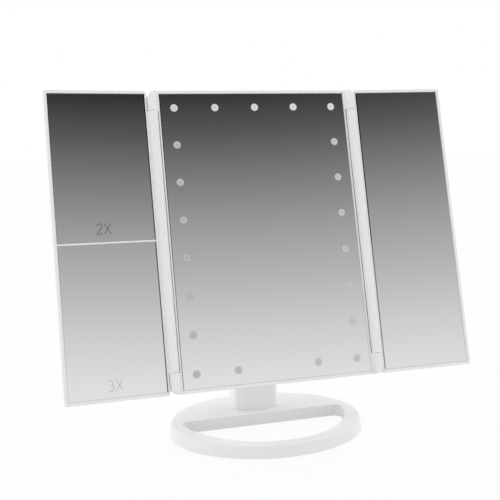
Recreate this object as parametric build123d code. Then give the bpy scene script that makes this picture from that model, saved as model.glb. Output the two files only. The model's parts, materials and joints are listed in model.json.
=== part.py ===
from build123d import *
import math
import os

# A free-standing make-up mirror with three lighted, folding panels on an oval foot.
# The part stands on z = 0, faces -Y, and x = 0 is its plane of symmetry.
# All sizes are in millimetres and all angles are in degrees.

os.makedirs("parts", exist_ok=True)

# Glass and the white rims round it
glass_height = 240.0
centre_glass_width = 162.0
wing_glass_width = 77.8
glass_thickness = 2.0
glass_gap = 0.15
glass_edge_bevel = 0.3
rim_width = 2.4
rim_proud = 0.8
rim_edge_bevel = 0.4
rim_corner_radius = 1.8
strip_width = 1.3
divider_width = 1.1
divider_below_rim = 0.2

# Panels behind the glass
tray_floor = 1.5
centre_frame_depth = 6.0
centre_wall = 1.6
housing_corner_radius = 7.5
back_inset = 0.4
back_depth = 12.0
back_wall = 2.0
back_edge_bevel = 2.0
wing_frame_depth = 4.4
wing_depth = 7.0
wing_wall = 1.5
wing_back_wall = 1.4
wing_back_edge_bevel = 1.2

# Wing hinges: the long barrel is the wing's, the short knuckles are the centre panel's
barrel_radius = 3.9
barrel_gap = 0.8
barrel_cover = 3.6
knuckle_clearance = 0.3
wing_inner_rim = 1.5
axis_before_rim = 1.0
knuckle_length = 17.3
knuckle_end_bevel = 2.0
hinge_pin_radius = 1.2
hinge_pin_length = 22.0
pin_press_gap = 0.02
pin_running_gap = 0.05
bush_corner_radius = 2.5
bush_sides = 6
bush_length = 12.0
bush_seat_gap = 0.03
wing_open_angle = 2.1

# Light windows and what is behind them
window_radius = 3.0
window_gap = 0.05
window_margin = 12.0
windows_across = 5
windows_up = 8
light_opening = 4.2
led_width = 3.5
led_depth = 2.8
led_height = 1.4
led_gap = 0.1
led_board_width = 8.0
led_board_thickness = 1.0
control_board_width = 56.0
control_board_height = 24.0
control_board_thickness = 1.2
control_board_standoff = 2.7
board_post_width = 4.0
chip_side = 7.0
chip_height = 1.2
plug_width = 10.0
plug_depth = 2.2
board_piece_offset = 10.0
touch_pad_width = 11.0
touch_pad_thickness = 0.2
touch_spring_radius = 2.5

# Raised power box on the back of the centre panel
box_width = 80.0
box_height = 112.0
box_bottom = 84.0
box_depth = 27.0
box_corner_radius = 12.0
box_edge_bevel = 2.6
box_taper = 4.0
box_wall = 3.4
box_side_wall = 3.6

# Battery bay, four small round cells lying across the panel
cell_radius = 5.25
cell_length = 44.5
cell_pitch = 11.0
cell_count = 4
cell_nib_radius = 1.9
cell_nib_length = 0.9
cell_gap = 0.2
contact_space = 3.0
contact_thickness = 0.4
contact_spring_radius = 3.0
contact_spring_sides = 6
tray_wall = 1.2
bay_middle = 160.0
door_width = 58.0
door_bottom = 134.0
door_thickness = 1.6
door_lip_width = 1.5
door_lip_thickness = 0.7
door_gap = 0.25
door_rib_depth = 0.5
door_rib_width = 1.6
door_rib_length = 22.0
door_rib_pitch = 4.0
door_rib_count = 4

# Switch and charging inlet
switch_u = -28.0
switch_v = 101.0
switch_travel = 4.0
knob_width = 4.2
knob_height = 4.0
knob_proud = 1.2
knob_gap = 0.3
knob_groove = 0.5
knob_groove_count = 3
switch_body_width = 13.0
switch_body_height = 6.5
switch_body_depth = 3.6
switch_board_width = 15.0
switch_board_height = 16.0
inlet_u = 26.0
inlet_width = 7.6
inlet_height = 2.8
inlet_length = 6.5
inlet_wall = 0.4
inlet_gap = 0.2
inlet_tongue = 0.7
inlet_tongue_width = 3.8
inlet_board_width = 12.0
inlet_board_length = 14.0
inlet_overhang = 2.6
small_board_thickness = 1.2

# Tilting arm and the fork on the neck
lean_angle = 14.7
pivot_up = 110.0
pivot_behind = 47.5
pivot_height = 147.8
arm_width = 21.0
arm_end_radius = 11.5
arm_root_height = 24.0
arm_passage_gap = 0.25
arm_flange_width = 36.0
arm_flange_height = 37.0
arm_flange_thickness = 3.0
arm_screw_u = 14.5
arm_screw_v = 14.0
washer_thickness = 0.5
washer_radius = 9.0
washer_gap = 0.2
tilt_bolt_radius = 3.0
bolt_seat_gap = 0.03
bolt_running_gap = 0.05
bolt_head_radius = 4.4
bolt_head_height = 2.4
bolt_head_sides = 6
nut_flats = 7.6
nut_height = 2.4
cap_radius = 4.7
cap_thickness = 1.2
cap_gap = 0.1

# Neck
neck_y = 35.2
neck_width = 40.0
neck_depth = 29.0
neck_side_depth = 16.8
neck_corner_radius = 6.0
neck_wall = 3.0
neck_seat_depth = 1.6
neck_seat_gap = 0.25
neck_cavity_top = 112.0
neck_screw_length = 12.0
neck_boss_radius = 4.0
neck_boss_x = 12.0
neck_rib = 2.4
neck_boss_height = 25.0
slot_round_gap = 0.7
slot_front_drop = 2.3

# Oval foot with an open front
base_width = 166.0
base_depth = 141.0
base_height = 10.2
base_draft = 1.5
base_top_bevel = 0.9
base_wall = 2.4
base_top_wall = 3.4
opening_edge_y = 11.1
ring_front = 10.8
ring_side = 9.4
opening_corner_radius = 6.0
channel_wall = 2.3
channel_depth = 6.8
foot_proud = 1.0
foot_seat = 0.6
foot_radius = 6.0
wide_foot_margin = 27.0
back_foot_margin = 12.0
front_foot_length = 16.0
front_foot_x = 30.0
cover_screw_side_margin = 25.0
cover_screw_front_margin = 8.4
cover_thickness = 2.0
cover_gap = 0.2
weight_thickness = 3.0
weight_margin = 3.0
weight_gap = 0.2

# Screws
screw_radius = 1.3
screw_head_radius = 2.5
screw_head_height = 1.6
screw_clearance = 0.2
screw_bite_gap = 0.02
housing_post_radius = 3.4
housing_post_u = 57.0
housing_post_margin = 25.0
screw_recess = 1.0

# Flat sides that stand for round ones on what is small or repeated, which keeps the model light
small_sides = 12
medium_sides = 20

# Length by which cutting solids run past what they cut, and by which a flat face is recognised
overrun = 1.0
face_tolerance = 0.01

# Places worked out from the sizes above
rim_front = -rim_proud
floor_front = glass_thickness
floor_back = floor_front + tray_floor
hinge_u = centre_glass_width / 2 + strip_width + barrel_gap + barrel_radius
hinge_depth = rim_front - axis_before_rim
wing_glass_start = barrel_radius + knuckle_clearance + wing_inner_rim
wing_reach = wing_glass_start + wing_glass_width + rim_width
panel_height = glass_height + 2 * rim_width
panel_middle = glass_height / 2
seam_low = -rim_width + knuckle_length
seam_high = glass_height + rim_width - knuckle_length
box_middle = box_bottom + box_height / 2
box_inner_back = box_depth - box_wall
window_u = centre_glass_width / 2 - window_margin
window_top = glass_height - window_margin
led_board_front = floor_back + led_gap + led_height
lean_sin = math.sin(math.radians(lean_angle))
lean_cos = math.cos(math.radians(lean_angle))
base_underside = foot_proud
base_top = base_underside + base_height
wide_foot_x = base_width / 2 - wide_foot_margin
back_foot_y = base_depth / 2 - back_foot_margin
neck_foot = base_top - neck_seat_depth
glass_foot_y = neck_y - pivot_up * lean_sin - pivot_behind * lean_cos
glass_foot_z = pivot_height - pivot_up * lean_cos + pivot_behind * lean_sin
tray_length = cell_length + 2 * contact_space
tray_height = (cell_count - 1) * cell_pitch + 2 * (cell_radius + cell_gap + tray_wall)
cell_middle_depth = box_inner_back - cell_radius - cell_gap


def slab(outline, front, back):
    """Solid of a front-view outline between two depths, both measured towards +Y."""
    return extrude(Plane.XZ.offset(-back) * outline, amount=back - front)


def rod(radius, length, sides):
    """Round rod, or one with that many flat sides where a number of sides is given."""
    if sides:
        return extrude(Pos(0, 0, -length / 2) * RegularPolygon(radius, sides), amount=length)
    return Cylinder(radius, length)


def round_room(radius, gap):
    """Reach of a many-sided hole in which a rod of the radius can turn."""
    return (radius + gap) / math.cos(math.pi / small_sides)


def rod_up(radius, x, y, low, high, sides=0):
    """Upright rod between two heights."""
    return Pos(x, y, (low + high) / 2) * rod(radius, high - low, sides)


def rod_deep(radius, x, z, front, back, sides=0):
    """Rod along Y between two depths."""
    return Pos(x, (front + back) / 2, z) * Rot(90, 0, 0) * rod(radius, back - front, sides)


def rod_across(radius, left, right, y, z, sides=0):
    """Rod along X between two places."""
    return Pos((left + right) / 2, y, z) * Rot(0, 90, 0) * rod(radius, right - left, sides)


def block(left, right, front, back, low, high):
    """Box between six named places."""
    middle = Pos((left + right) / 2, (front + back) / 2, (low + high) / 2)
    return middle * Box(right - left, back - front, high - low)


def peg(width, u, v, front, back):
    """Square peg along Y between two depths, its middle at u, v."""
    half = width / 2
    return block(u - half, u + half, front, back, v - half, v + half)


def group(solids):
    """Several separate solids kept in one node."""
    return Compound([solid for part in solids for solid in part.solids()])


def in_head(part):
    """Move a piece drawn upright, with the glass at y = 0, to the leaning head."""
    return Pos(0, glass_foot_y, glass_foot_z) * Rot(-lean_angle, 0, 0) * part


def in_wing(part, side):
    """Move a piece drawn from the hinge axis outwards to the left (-1) or right (1) wing."""
    if side < 0:
        part = mirror(part, about=Plane.YZ)
    turned = Rot(0, 0, -side * wing_open_angle) * part
    return in_head(Pos(side * hinge_u, hinge_depth, 0) * turned)


def longest_loop(part, depth):
    """Outer loop of edges of the widest face that lies at one depth."""
    faces = [f for f in part.faces() if abs(f.bounding_box().min.Y - depth) < face_tolerance
             and abs(f.bounding_box().max.Y - depth) < face_tolerance]
    widest = max(faces, key=lambda f: f.bounding_box().size.X)
    return widest.outer_wire().edges()


# Centre panel

def centre_outline(inset, cover=0):
    """Front view of the centre panel: a rounded sheet notched for the two wing barrels.

    The cover is how far the sheet reaches out behind the barrels.
    """
    side = hinge_u + barrel_radius - inset
    notch_edge = centre_glass_width / 2 + strip_width + cover - inset
    notch_low = seam_low - inset
    notch_high = seam_high + inset
    sheet = Pos(0, panel_middle) * RectangleRounded(
        2 * side, panel_height - 2 * inset, housing_corner_radius - inset)
    notch_width = side - notch_edge + overrun
    notch = Rectangle(notch_width, notch_high - notch_low)
    for way in (-1, 1):
        sheet -= Pos(way * (notch_edge + notch_width / 2), panel_middle) * notch
    return sheet


def window_places():
    """Centres of the round light windows: top row, both side columns, two below."""
    across_pitch = 2 * window_u / (windows_across - 1)
    up_pitch = (window_top - window_margin) / (windows_up - 1)
    places = [(-window_u + i * across_pitch, window_top) for i in range(1, windows_across - 1)]
    for way in (-1, 1):
        places += [(way * window_u, window_margin + i * up_pitch) for i in range(windows_up)]
        places.append((way * across_pitch, window_margin))
    return places


def housing_post_places():
    """Places of the posts that take the screws of the back housing."""
    rows = (housing_post_margin, glass_height - housing_post_margin)
    return [(way * housing_post_u, row) for way in (-1, 1) for row in rows]


def board_post_places():
    """Posts under the corners of the control board."""
    reach = (control_board_width - board_post_width) / 2
    low = window_margin - (control_board_height - board_post_width) / 2
    high = window_margin + (control_board_height - board_post_width) / 2
    return [(way * reach, level) for way in (-1, 1) for level in (low, high)]


def make_centre_frame():
    body = slab(centre_outline(0), rim_front, centre_frame_depth)
    body = chamfer(longest_loop(body, rim_front), rim_edge_bevel)
    bulge = slab(Pos(0, panel_middle) * RectangleRounded(
        2 * (hinge_u + barrel_radius), panel_height, housing_corner_radius),
        hinge_depth - barrel_radius, centre_frame_depth)
    bulge = chamfer(longest_loop(bulge, hinge_depth - barrel_radius), knuckle_end_bevel)
    for way in (-1, 1):
        column = rod_up(barrel_radius, way * hinge_u, hinge_depth, -rim_width, glass_height + rim_width)
        barrel_room = block(way * hinge_u - 2 * barrel_radius, way * hinge_u + 2 * barrel_radius,
                            hinge_depth - 2 * barrel_radius, centre_frame_depth, seam_low, seam_high)
        body += (column & bulge) - barrel_room
    pane_room = Pos(0, panel_middle) * Rectangle(centre_glass_width, glass_height)
    body -= slab(pane_room, rim_front - overrun, floor_front)
    inner = centre_outline(centre_wall)
    body -= slab(inner, floor_back, centre_frame_depth + overrun)
    for u, v in window_places():
        body -= peg(light_opening, u, v, floor_front - overrun, floor_back + overrun)
    for u, v in housing_post_places():
        body += rod_deep(housing_post_radius, u, v, floor_back - tray_floor / 2, centre_frame_depth,
                         small_sides)
        body -= rod_deep(screw_radius + screw_bite_gap, u, v, floor_back, centre_frame_depth + overrun,
                         small_sides)
    post_back = floor_back + control_board_standoff
    for u, v in board_post_places():
        body += peg(board_post_width, u, v, floor_back - tray_floor / 2, post_back)
    hole = hinge_pin_radius + pin_press_gap
    half_pin = hinge_pin_length / 2
    for way in (-1, 1):
        for seam, end in ((seam_low, seam_low - half_pin), (seam_high, seam_high + half_pin)):
            low, high = sorted((seam, end))
            body -= rod_up(hole, way * hinge_u, hinge_depth, low - pin_running_gap, high + pin_running_gap,
                           small_sides)
    return in_head(body)


def pane(width, height):
    """Flat pane with a fine bevel round its front edge, its middle at the origin of the front view."""
    sheet = slab(Rectangle(width - 2 * glass_gap, height - 2 * glass_gap), 0, glass_thickness)
    return chamfer(longest_loop(sheet, 0), glass_edge_bevel)


def make_centre_mirror():
    sheet = Pos(0, 0, panel_middle) * pane(centre_glass_width, glass_height)
    holes = [rod_deep(window_radius, u, v, -overrun, glass_thickness + overrun, small_sides)
             for u, v in window_places()]
    return in_head(sheet - holes)


def make_light_windows():
    radius = window_radius - window_gap
    return group([in_head(rod_deep(radius, u, v, 0, glass_thickness, small_sides))
                  for u, v in window_places()])


def make_led_board():
    """One board that follows the windows round the panel and stops short of the touch sensor."""
    front = led_board_front
    back = front + led_board_thickness
    half = led_board_width / 2
    low = window_margin - half
    high = window_top + half
    top = block(-window_u - half, window_u + half, front, back, window_top - half, high)
    board = top
    inner_end = window_u / 2 - half
    for way in (-1, 1):
        left, right = sorted((way * (window_u - half), way * (window_u + half)))
        board += block(left, right, front, back, low, high)
        left, right = sorted((way * inner_end, way * (window_u + half)))
        board += block(left, right, front, back, low, window_margin + half)
    return in_head(board)


def make_led_chips():
    front = led_board_front - led_height
    chips = []
    for u, v in window_places():
        chips.append(in_head(block(u - led_width / 2, u + led_width / 2, front, led_board_front,
                                   v - led_depth / 2, v + led_depth / 2)))
    return group(chips)


def make_control_board():
    """Board with its controller chip on one side and the plug for the battery leads on the other."""
    front = floor_back + control_board_standoff
    back = front + control_board_thickness
    half = control_board_width / 2
    board = block(-half, half, front, back,
                  window_margin - control_board_height / 2, window_margin + control_board_height / 2)
    chip = block(-board_piece_offset - chip_side, -board_piece_offset, back, back + chip_height,
                 window_margin - chip_side / 2, window_margin + chip_side / 2)
    plug = block(board_piece_offset, board_piece_offset + plug_width, back, back + plug_depth,
                 window_margin - chip_side / 2, window_margin + chip_side / 2)
    return in_head(board + chip + plug)


def make_touch_sensor():
    """Copper pad on the back of the tray floor with the spring that joins it to the board."""
    pad_back = floor_back + touch_pad_thickness
    spring_back = floor_back + control_board_standoff
    pad = peg(touch_pad_width, 0, window_margin, floor_back, pad_back)
    spring = rod_deep(touch_spring_radius, 0, window_margin, pad_back, spring_back, small_sides)
    return in_head(pad + spring)


# Back housing with its raised power box

def box_sheet(inset):
    """Front view of the power box at its root."""
    return Pos(0, box_middle) * RectangleRounded(
        box_width - 2 * inset, box_height - 2 * inset, box_corner_radius - inset)


def box_envelope():
    """Outer form of the power box, drafted, with a bevelled back edge."""
    root = back_depth - back_wall
    loft_plane = Plane(origin=(0, root, 0), x_dir=(-1, 0, 0), z_dir=(0, 1, 0))
    form = extrude(loft_plane * (Pos(0, box_middle) * RectangleRounded(
        box_width, box_height, box_corner_radius)), amount=box_depth - root, taper=box_taper)
    return chamfer(longest_loop(form, box_depth), box_edge_bevel)


def door_outline(width, gap):
    """Front view of the battery door, which runs out over the top of the box."""
    top = box_bottom + box_height + overrun
    height = top - door_bottom + gap
    return Pos(0, top - height / 2) * Rectangle(width + 2 * gap, height)


def door_space(gap):
    """Space of the door: its skin, and the two lips that slide under the edges of the box."""
    skin_front = box_depth - door_thickness
    skin = slab(door_outline(door_width, gap), skin_front - gap, box_depth + overrun)
    lips = slab(door_outline(door_width + 2 * door_lip_width, gap),
                skin_front - door_lip_thickness - gap, skin_front + gap)
    return skin + lips


def make_centre_back():
    dish = slab(centre_outline(back_inset, barrel_cover), centre_frame_depth, back_depth)
    dish = chamfer(longest_loop(dish, back_depth), back_edge_bevel)
    body = dish + box_envelope()
    body -= slab(centre_outline(back_inset + back_wall), centre_frame_depth - overrun, back_depth - back_wall)
    body -= slab(box_sheet(box_side_wall), centre_frame_depth - overrun, box_inner_back)
    bay = Pos(0, bay_middle) * Rectangle(tray_length - 2 * tray_wall, tray_height - 2 * tray_wall)
    body -= slab(bay, box_inner_back - overrun, box_depth + overrun)
    body -= door_space(door_gap)
    passage_u = arm_width / 2 + arm_passage_gap
    passage_v = arm_root_height / 2 + arm_passage_gap
    body -= block(-passage_u, passage_u, box_inner_back - overrun, box_depth + overrun,
                  pivot_up - passage_v, pivot_up + passage_v)
    for u, v in arm_screw_places():
        body -= rod_deep(screw_radius + screw_bite_gap, u, v, box_inner_back - overrun,
                         box_depth - screw_recess, small_sides)
    slot_u = (knob_width + switch_travel) / 2 + knob_gap
    slot_v = knob_height / 2 + knob_gap
    slot_middle = switch_u + switch_travel / 2
    body -= block(slot_middle - slot_u, slot_middle + slot_u, box_inner_back - overrun, box_depth + overrun,
                  switch_v - slot_v, switch_v + slot_v)
    inlet_front = inlet_depth() - inlet_height / 2 - inlet_gap
    inlet_half = inlet_width / 2 + inlet_gap
    body -= block(inlet_u - inlet_half, inlet_u + inlet_half, inlet_front,
                  inlet_front + inlet_height + 2 * inlet_gap, box_bottom - overrun,
                  box_bottom + box_side_wall + overrun)
    for u, v in housing_post_places():
        body += rod_deep(housing_post_radius, u, v, centre_frame_depth, back_depth - back_wall / 2,
                         small_sides)
        body -= rod_deep(screw_radius + screw_clearance, u, v, centre_frame_depth - overrun,
                         back_depth + overrun, small_sides)
        body -= rod_deep(screw_head_radius + screw_clearance, u, v,
                         back_depth - screw_recess - screw_head_height, back_depth + overrun, small_sides)
    for u, v in small_board_posts():
        body += peg(board_post_width, u, v, small_board_back(), box_inner_back + overrun)
    return in_head(body)


def make_housing_screws():
    screws = []
    head_back = back_depth - screw_recess
    for u, v in housing_post_places():
        head = rod_deep(screw_head_radius, u, v, head_back - screw_head_height, head_back, small_sides)
        shank = rod_deep(screw_radius, u, v, floor_back + overrun, head_back - screw_head_height, small_sides)
        screws.append(in_head(head + shank))
    return group(screws)


# Battery bay

def make_battery_tray():
    """Open tray that holds the cells, seated on the inner face of the box."""
    length = tray_length
    front = cell_middle_depth - cell_radius - cell_gap - tray_wall
    outer = slab(Pos(0, bay_middle) * Rectangle(length, tray_height), front, box_inner_back)
    room = slab(Pos(0, bay_middle) * Rectangle(length - 2 * tray_wall, tray_height - 2 * tray_wall),
                front + tray_wall, box_inner_back + overrun)
    return in_head(outer - room)


def cell_rows():
    first = bay_middle - cell_pitch * (cell_count - 1) / 2
    return [first + i * cell_pitch for i in range(cell_count)]


def make_battery_cells():
    """Cells that lie head to tail, each with its small end nib."""
    cells = []
    half = cell_length / 2
    for i, row in enumerate(cell_rows()):
        way = 1 - 2 * (i % 2)
        left, right = sorted((-way * half, way * (half - cell_nib_length)))
        can = rod_across(cell_radius, left, right, cell_middle_depth, row, medium_sides)
        left, right = sorted((way * (half - cell_nib_length), way * half))
        nib = rod_across(cell_nib_radius, left, right, cell_middle_depth, row, small_sides)
        cells.append(in_head(can + nib))
    return group(cells)


def make_battery_contacts():
    """A flat plate at each nib and a plate with a short spring at each flat end."""
    contacts = []
    room = tray_length / 2 - tray_wall
    half = cell_length / 2
    plate_half = cell_pitch / 2 - 2 * cell_gap
    for i, row in enumerate(cell_rows()):
        nib_way = 1 - 2 * (i % 2)
        for way in (-1, 1):
            left, right = sorted((way * (room - contact_thickness), way * room))
            plate = block(left, right, cell_middle_depth - plate_half, cell_middle_depth + plate_half,
                          row - plate_half, row + plate_half)
            radius = cell_nib_radius if way == nib_way else contact_spring_radius
            left, right = sorted((way * half, way * (room - contact_thickness)))
            spring = rod_across(radius, left, right, cell_middle_depth, row, contact_spring_sides)
            contacts.append(in_head(plate + spring))
    return group(contacts)


def make_battery_door():
    door = box_envelope() & door_space(0)
    first = bay_middle - door_rib_pitch * (door_rib_count - 1) / 2
    for i in range(door_rib_count):
        level = first + i * door_rib_pitch
        door -= block(-door_rib_length / 2, door_rib_length / 2, box_depth - door_rib_depth,
                      box_depth + overrun, level, level + door_rib_width)
    return in_head(door)


# Switch and charging inlet

def small_board_back():
    """Back face of the two small boards inside the box."""
    return box_inner_back - switch_body_depth


def inlet_depth():
    """Depth of the middle of the charging inlet, which stands on the back of its board."""
    return small_board_back() + inlet_height / 2


def board_sides():
    """Left, right, low and high of the switch board and of the inlet board."""
    switch_mid = switch_u + switch_travel / 2
    inlet_low = box_bottom + box_side_wall + inlet_overhang
    return (
        (switch_mid - switch_board_width / 2, switch_mid + switch_board_width / 2,
         switch_v - switch_board_height / 2, switch_v + switch_board_height / 2),
        (inlet_u - inlet_board_width / 2, inlet_u + inlet_board_width / 2,
         inlet_low, inlet_low + inlet_board_length),
    )


def small_board_posts():
    """Two posts for each small board, on its upper corners."""
    places = []
    for left, right, low, high in board_sides():
        places.append((left + board_post_width / 2, high - board_post_width / 2))
        places.append((right - board_post_width / 2, high - board_post_width / 2))
    return places


def make_power_boards():
    back = small_board_back()
    boards = [in_head(block(left, right, back - small_board_thickness, back, low, high))
              for left, right, low, high in board_sides()]
    return group(boards)


def make_switch_body():
    middle = switch_u + switch_travel / 2
    half = switch_body_width / 2
    body = block(middle - half, middle + half, small_board_back(), box_inner_back - cell_gap,
                 switch_v - switch_body_height / 2, switch_v + switch_body_height / 2)
    room_u = (knob_width + switch_travel) / 2 + knob_gap
    room_v = knob_height / 2 + knob_gap
    body -= block(middle - room_u, middle + room_u, small_board_back() + switch_body_depth / 2,
                  box_inner_back, switch_v - room_v, switch_v + room_v)
    return in_head(body)


def make_switch_knob():
    root = small_board_back() + switch_body_depth / 2 + knob_gap
    top = box_depth + knob_proud
    knob = block(switch_u - knob_width / 2, switch_u + knob_width / 2, root, top,
                 switch_v - knob_height / 2, switch_v + knob_height / 2)
    pitch = knob_width / knob_groove_count
    for i in range(knob_groove_count):
        middle = switch_u + (i - (knob_groove_count - 1) / 2) * pitch
        knob -= block(middle - knob_groove / 2, middle + knob_groove / 2, top - knob_groove, top + overrun,
                      switch_v - knob_height, switch_v + knob_height)
    return in_head(knob)


def make_charging_inlet():
    """Small metal socket with its contact tongue, mouth down."""
    mouth = box_bottom + inlet_gap
    half = inlet_width / 2
    half_thick = inlet_height / 2
    middle = inlet_depth()
    end = box_bottom + box_side_wall + inlet_length
    shell = block(inlet_u - half, inlet_u + half, middle - half_thick, middle + half_thick, mouth, end)
    shell -= block(inlet_u - half + inlet_wall, inlet_u + half - inlet_wall, middle - half_thick + inlet_wall,
                   middle + half_thick - inlet_wall, mouth - overrun, end - inlet_wall)
    tongue = block(inlet_u - inlet_tongue_width / 2, inlet_u + inlet_tongue_width / 2,
                   middle - inlet_tongue / 2, middle + inlet_tongue / 2,
                   mouth + inlet_wall, end - inlet_wall / 2)
    return in_head(shell + tongue)


# Wings

def make_wing_frame(side, divided):
    """Tray for the wing's glass, moulded in one with the long hinge barrel."""
    axis_to_glass = -hinge_depth
    front = axis_to_glass - rim_proud
    inner = barrel_radius + knuckle_clearance
    middle_r = (inner + wing_reach) / 2
    sheet = Pos(middle_r, panel_middle) * RectangleRounded(wing_reach - inner, panel_height, rim_corner_radius)
    body = slab(sheet, front, axis_to_glass + wing_frame_depth)
    body = chamfer(longest_loop(body, front), rim_edge_bevel)
    cavity = Pos(middle_r, panel_middle) * Rectangle(
        wing_reach - inner - 2 * wing_wall, panel_height - 2 * wing_wall)
    body -= slab(cavity, axis_to_glass + floor_back, axis_to_glass + wing_frame_depth + overrun)
    low = seam_low + knuckle_clearance
    high = seam_high - knuckle_clearance
    body += rod_up(barrel_radius, 0, 0, low, high)
    body += block(0, inner + wing_inner_rim / 2, front, axis_to_glass + glass_thickness, low, high)
    glass_middle = wing_glass_start + wing_glass_width / 2
    body -= slab(Pos(glass_middle, panel_middle) * Rectangle(wing_glass_width, glass_height),
                 front - overrun, axis_to_glass + floor_front)
    if divided:
        half = divider_width / 2
        body += block(wing_glass_start - glass_gap, wing_glass_start + wing_glass_width + glass_gap,
                      front + divider_below_rim, axis_to_glass + floor_front, panel_middle - half,
                      panel_middle + half)
    seat = bush_corner_radius + bush_seat_gap
    body -= rod_up(seat, 0, 0, low - overrun, low + bush_length, bush_sides)
    body -= rod_up(seat, 0, 0, high - bush_length, high + overrun, bush_sides)
    return in_wing(body, side)


def make_wing_back(side):
    """Shallow cover over the back of a wing."""
    axis_to_glass = -hinge_depth
    inner = barrel_radius + knuckle_clearance + back_inset
    outer = wing_reach - back_inset
    middle_r = (inner + outer) / 2
    height = panel_height - 2 * back_inset
    front = axis_to_glass + wing_frame_depth
    back = axis_to_glass + wing_depth
    cover = slab(Pos(middle_r, panel_middle) * RectangleRounded(outer - inner, height, rim_corner_radius),
                 front, back)
    cover = chamfer(longest_loop(cover, back), wing_back_edge_bevel)
    room = Pos(middle_r, panel_middle) * Rectangle(outer - inner - 2 * wing_wall, height - 2 * wing_wall)
    cover -= slab(room, front - overrun, back - wing_back_wall)
    return in_wing(cover, side)


def make_wing_pane(side, low, high):
    width = wing_glass_width
    sheet = Pos(wing_glass_start + width / 2, -hinge_depth, (low + high) / 2) * pane(width, high - low)
    return in_wing(sheet, side)


def make_hinge_bushes(side):
    """Six-sided friction bushes in the two ends of a wing's barrel, each with a bore for its pin."""
    low = seam_low + knuckle_clearance
    high = seam_high - knuckle_clearance
    bushes = []
    for start, end in ((low, low + bush_length), (high - bush_length, high)):
        ring = rod_up(bush_corner_radius, 0, 0, start, end, bush_sides)
        ring -= rod_up(round_room(hinge_pin_radius, pin_running_gap), 0, 0, start - overrun, end + overrun,
                       small_sides)
        bushes.append(in_wing(ring, side))
    return group(bushes)


def make_hinge_pins():
    half = hinge_pin_length / 2
    pins = []
    for way in (-1, 1):
        for seam in (seam_low, seam_high):
            pins.append(in_head(rod_up(hinge_pin_radius, way * hinge_u, hinge_depth, seam - half, seam + half,
                                       small_sides)))
    return group(pins)


# Tilting arm

def arm_screw_places():
    return [(i * arm_screw_u, pivot_up + j * arm_screw_v) for i in (-1, 1) for j in (-1, 1)]


def make_tilt_arm():
    """Tongue that carries the head, with a flange held inside the power box."""
    flange_front = box_inner_back - arm_flange_thickness
    half = arm_width / 2
    flange = block(-arm_flange_width / 2, arm_flange_width / 2, flange_front, box_inner_back,
                   pivot_up - arm_flange_height / 2, pivot_up + arm_flange_height / 2)
    eye = rod_across(arm_end_radius, -half, half, pivot_behind, pivot_up)
    straight = slab(Pos(0, pivot_up) * Rectangle(arm_width, arm_root_height), flange_front, box_depth)
    root = Plane.XZ.offset(-box_depth) * (Pos(0, pivot_up) * Rectangle(arm_width, arm_root_height))
    tip = Plane.XZ.offset(-pivot_behind) * (Pos(0, pivot_up) * Rectangle(arm_width, 2 * arm_end_radius))
    arm = flange + straight + loft([root.face(), tip.face()]) + eye
    arm -= rod_across(tilt_bolt_radius + bolt_running_gap, -arm_width, arm_width, pivot_behind, pivot_up)
    for u, v in arm_screw_places():
        arm -= rod_deep(screw_radius + screw_clearance, u, v, flange_front - overrun,
                        box_inner_back + overrun, small_sides)
    return in_head(arm)


def make_arm_screws():
    front = box_inner_back - arm_flange_thickness
    screws = []
    for u, v in arm_screw_places():
        head = rod_deep(screw_head_radius, u, v, front - screw_head_height, front, small_sides)
        shank = rod_deep(screw_radius, u, v, front, box_depth - screw_recess - screw_clearance, small_sides)
        screws.append(in_head(head + shank))
    return group(screws)


# Neck and its fork

def neck_solid(inset, low, high):
    """Length of the neck: a bowed front and back between two flat sides, with round corners."""
    bow = (neck_depth - neck_side_depth) / 2
    radius = ((neck_width / 2) ** 2 + bow ** 2) / (2 * bow)
    centre_y = radius - neck_depth / 2
    front = Pos(0, centre_y) * Circle(radius - inset)
    back = Pos(0, -centre_y) * Circle(radius - inset)
    plan = front & back & Rectangle(neck_width - 2 * inset, neck_depth)
    post = extrude(Pos(0, neck_y, low) * plan, amount=high - low)
    return fillet(post.edges().filter_by(Axis.Z), neck_corner_radius - inset)


def fork_slot():
    """Width of the slot between the two cheeks of the fork."""
    return arm_width + 2 * (washer_thickness + washer_gap)


def make_neck_post():
    post = neck_solid(0, neck_foot, pivot_height)
    crown = rod_across(neck_depth / 2, -neck_width, neck_width, neck_y, pivot_height)
    post += crown & neck_solid(0, neck_foot, pivot_height + neck_depth)
    half_slot = fork_slot() / 2
    slot_floor = arm_end_radius + slot_front_drop
    slot = rod_across(arm_end_radius + slot_round_gap, -half_slot, half_slot, neck_y, pivot_height)
    slot += block(-half_slot, half_slot, neck_y - neck_depth, neck_y + neck_depth,
                  pivot_height, pivot_height + neck_depth)
    slot += block(-half_slot, half_slot, neck_y - neck_depth, neck_y, pivot_height - slot_floor, pivot_height)
    post -= slot
    cavity = neck_solid(neck_wall, neck_foot - overrun, neck_cavity_top)
    boss_top = neck_foot + neck_boss_height
    cavity -= block(-neck_width, neck_width, neck_y - neck_rib / 2, neck_y + neck_rib / 2,
                    neck_foot - 2 * overrun, boss_top)
    for way in (-1, 1):
        cavity -= rod_up(neck_boss_radius, way * neck_boss_x, neck_y, neck_foot - 2 * overrun, boss_top,
                         small_sides)
    post -= cavity
    for way in (-1, 1):
        post -= rod_up(screw_radius + screw_bite_gap, way * neck_boss_x, neck_y, neck_foot - overrun,
                       neck_foot + neck_screw_length, small_sides)
    reach = neck_width / 2
    post -= rod_across(tilt_bolt_radius + bolt_seat_gap, -reach - overrun, reach + overrun,
                       neck_y, pivot_height)
    seat = cap_radius + cap_gap
    for way in (-1, 1):
        inner = reach - cap_thickness - (bolt_head_height if way > 0 else nut_height) - cap_gap
        left, right = sorted((way * inner, way * (reach + overrun)))
        post -= rod_across(seat, left, right, neck_y, pivot_height, medium_sides)
    return post


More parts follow.
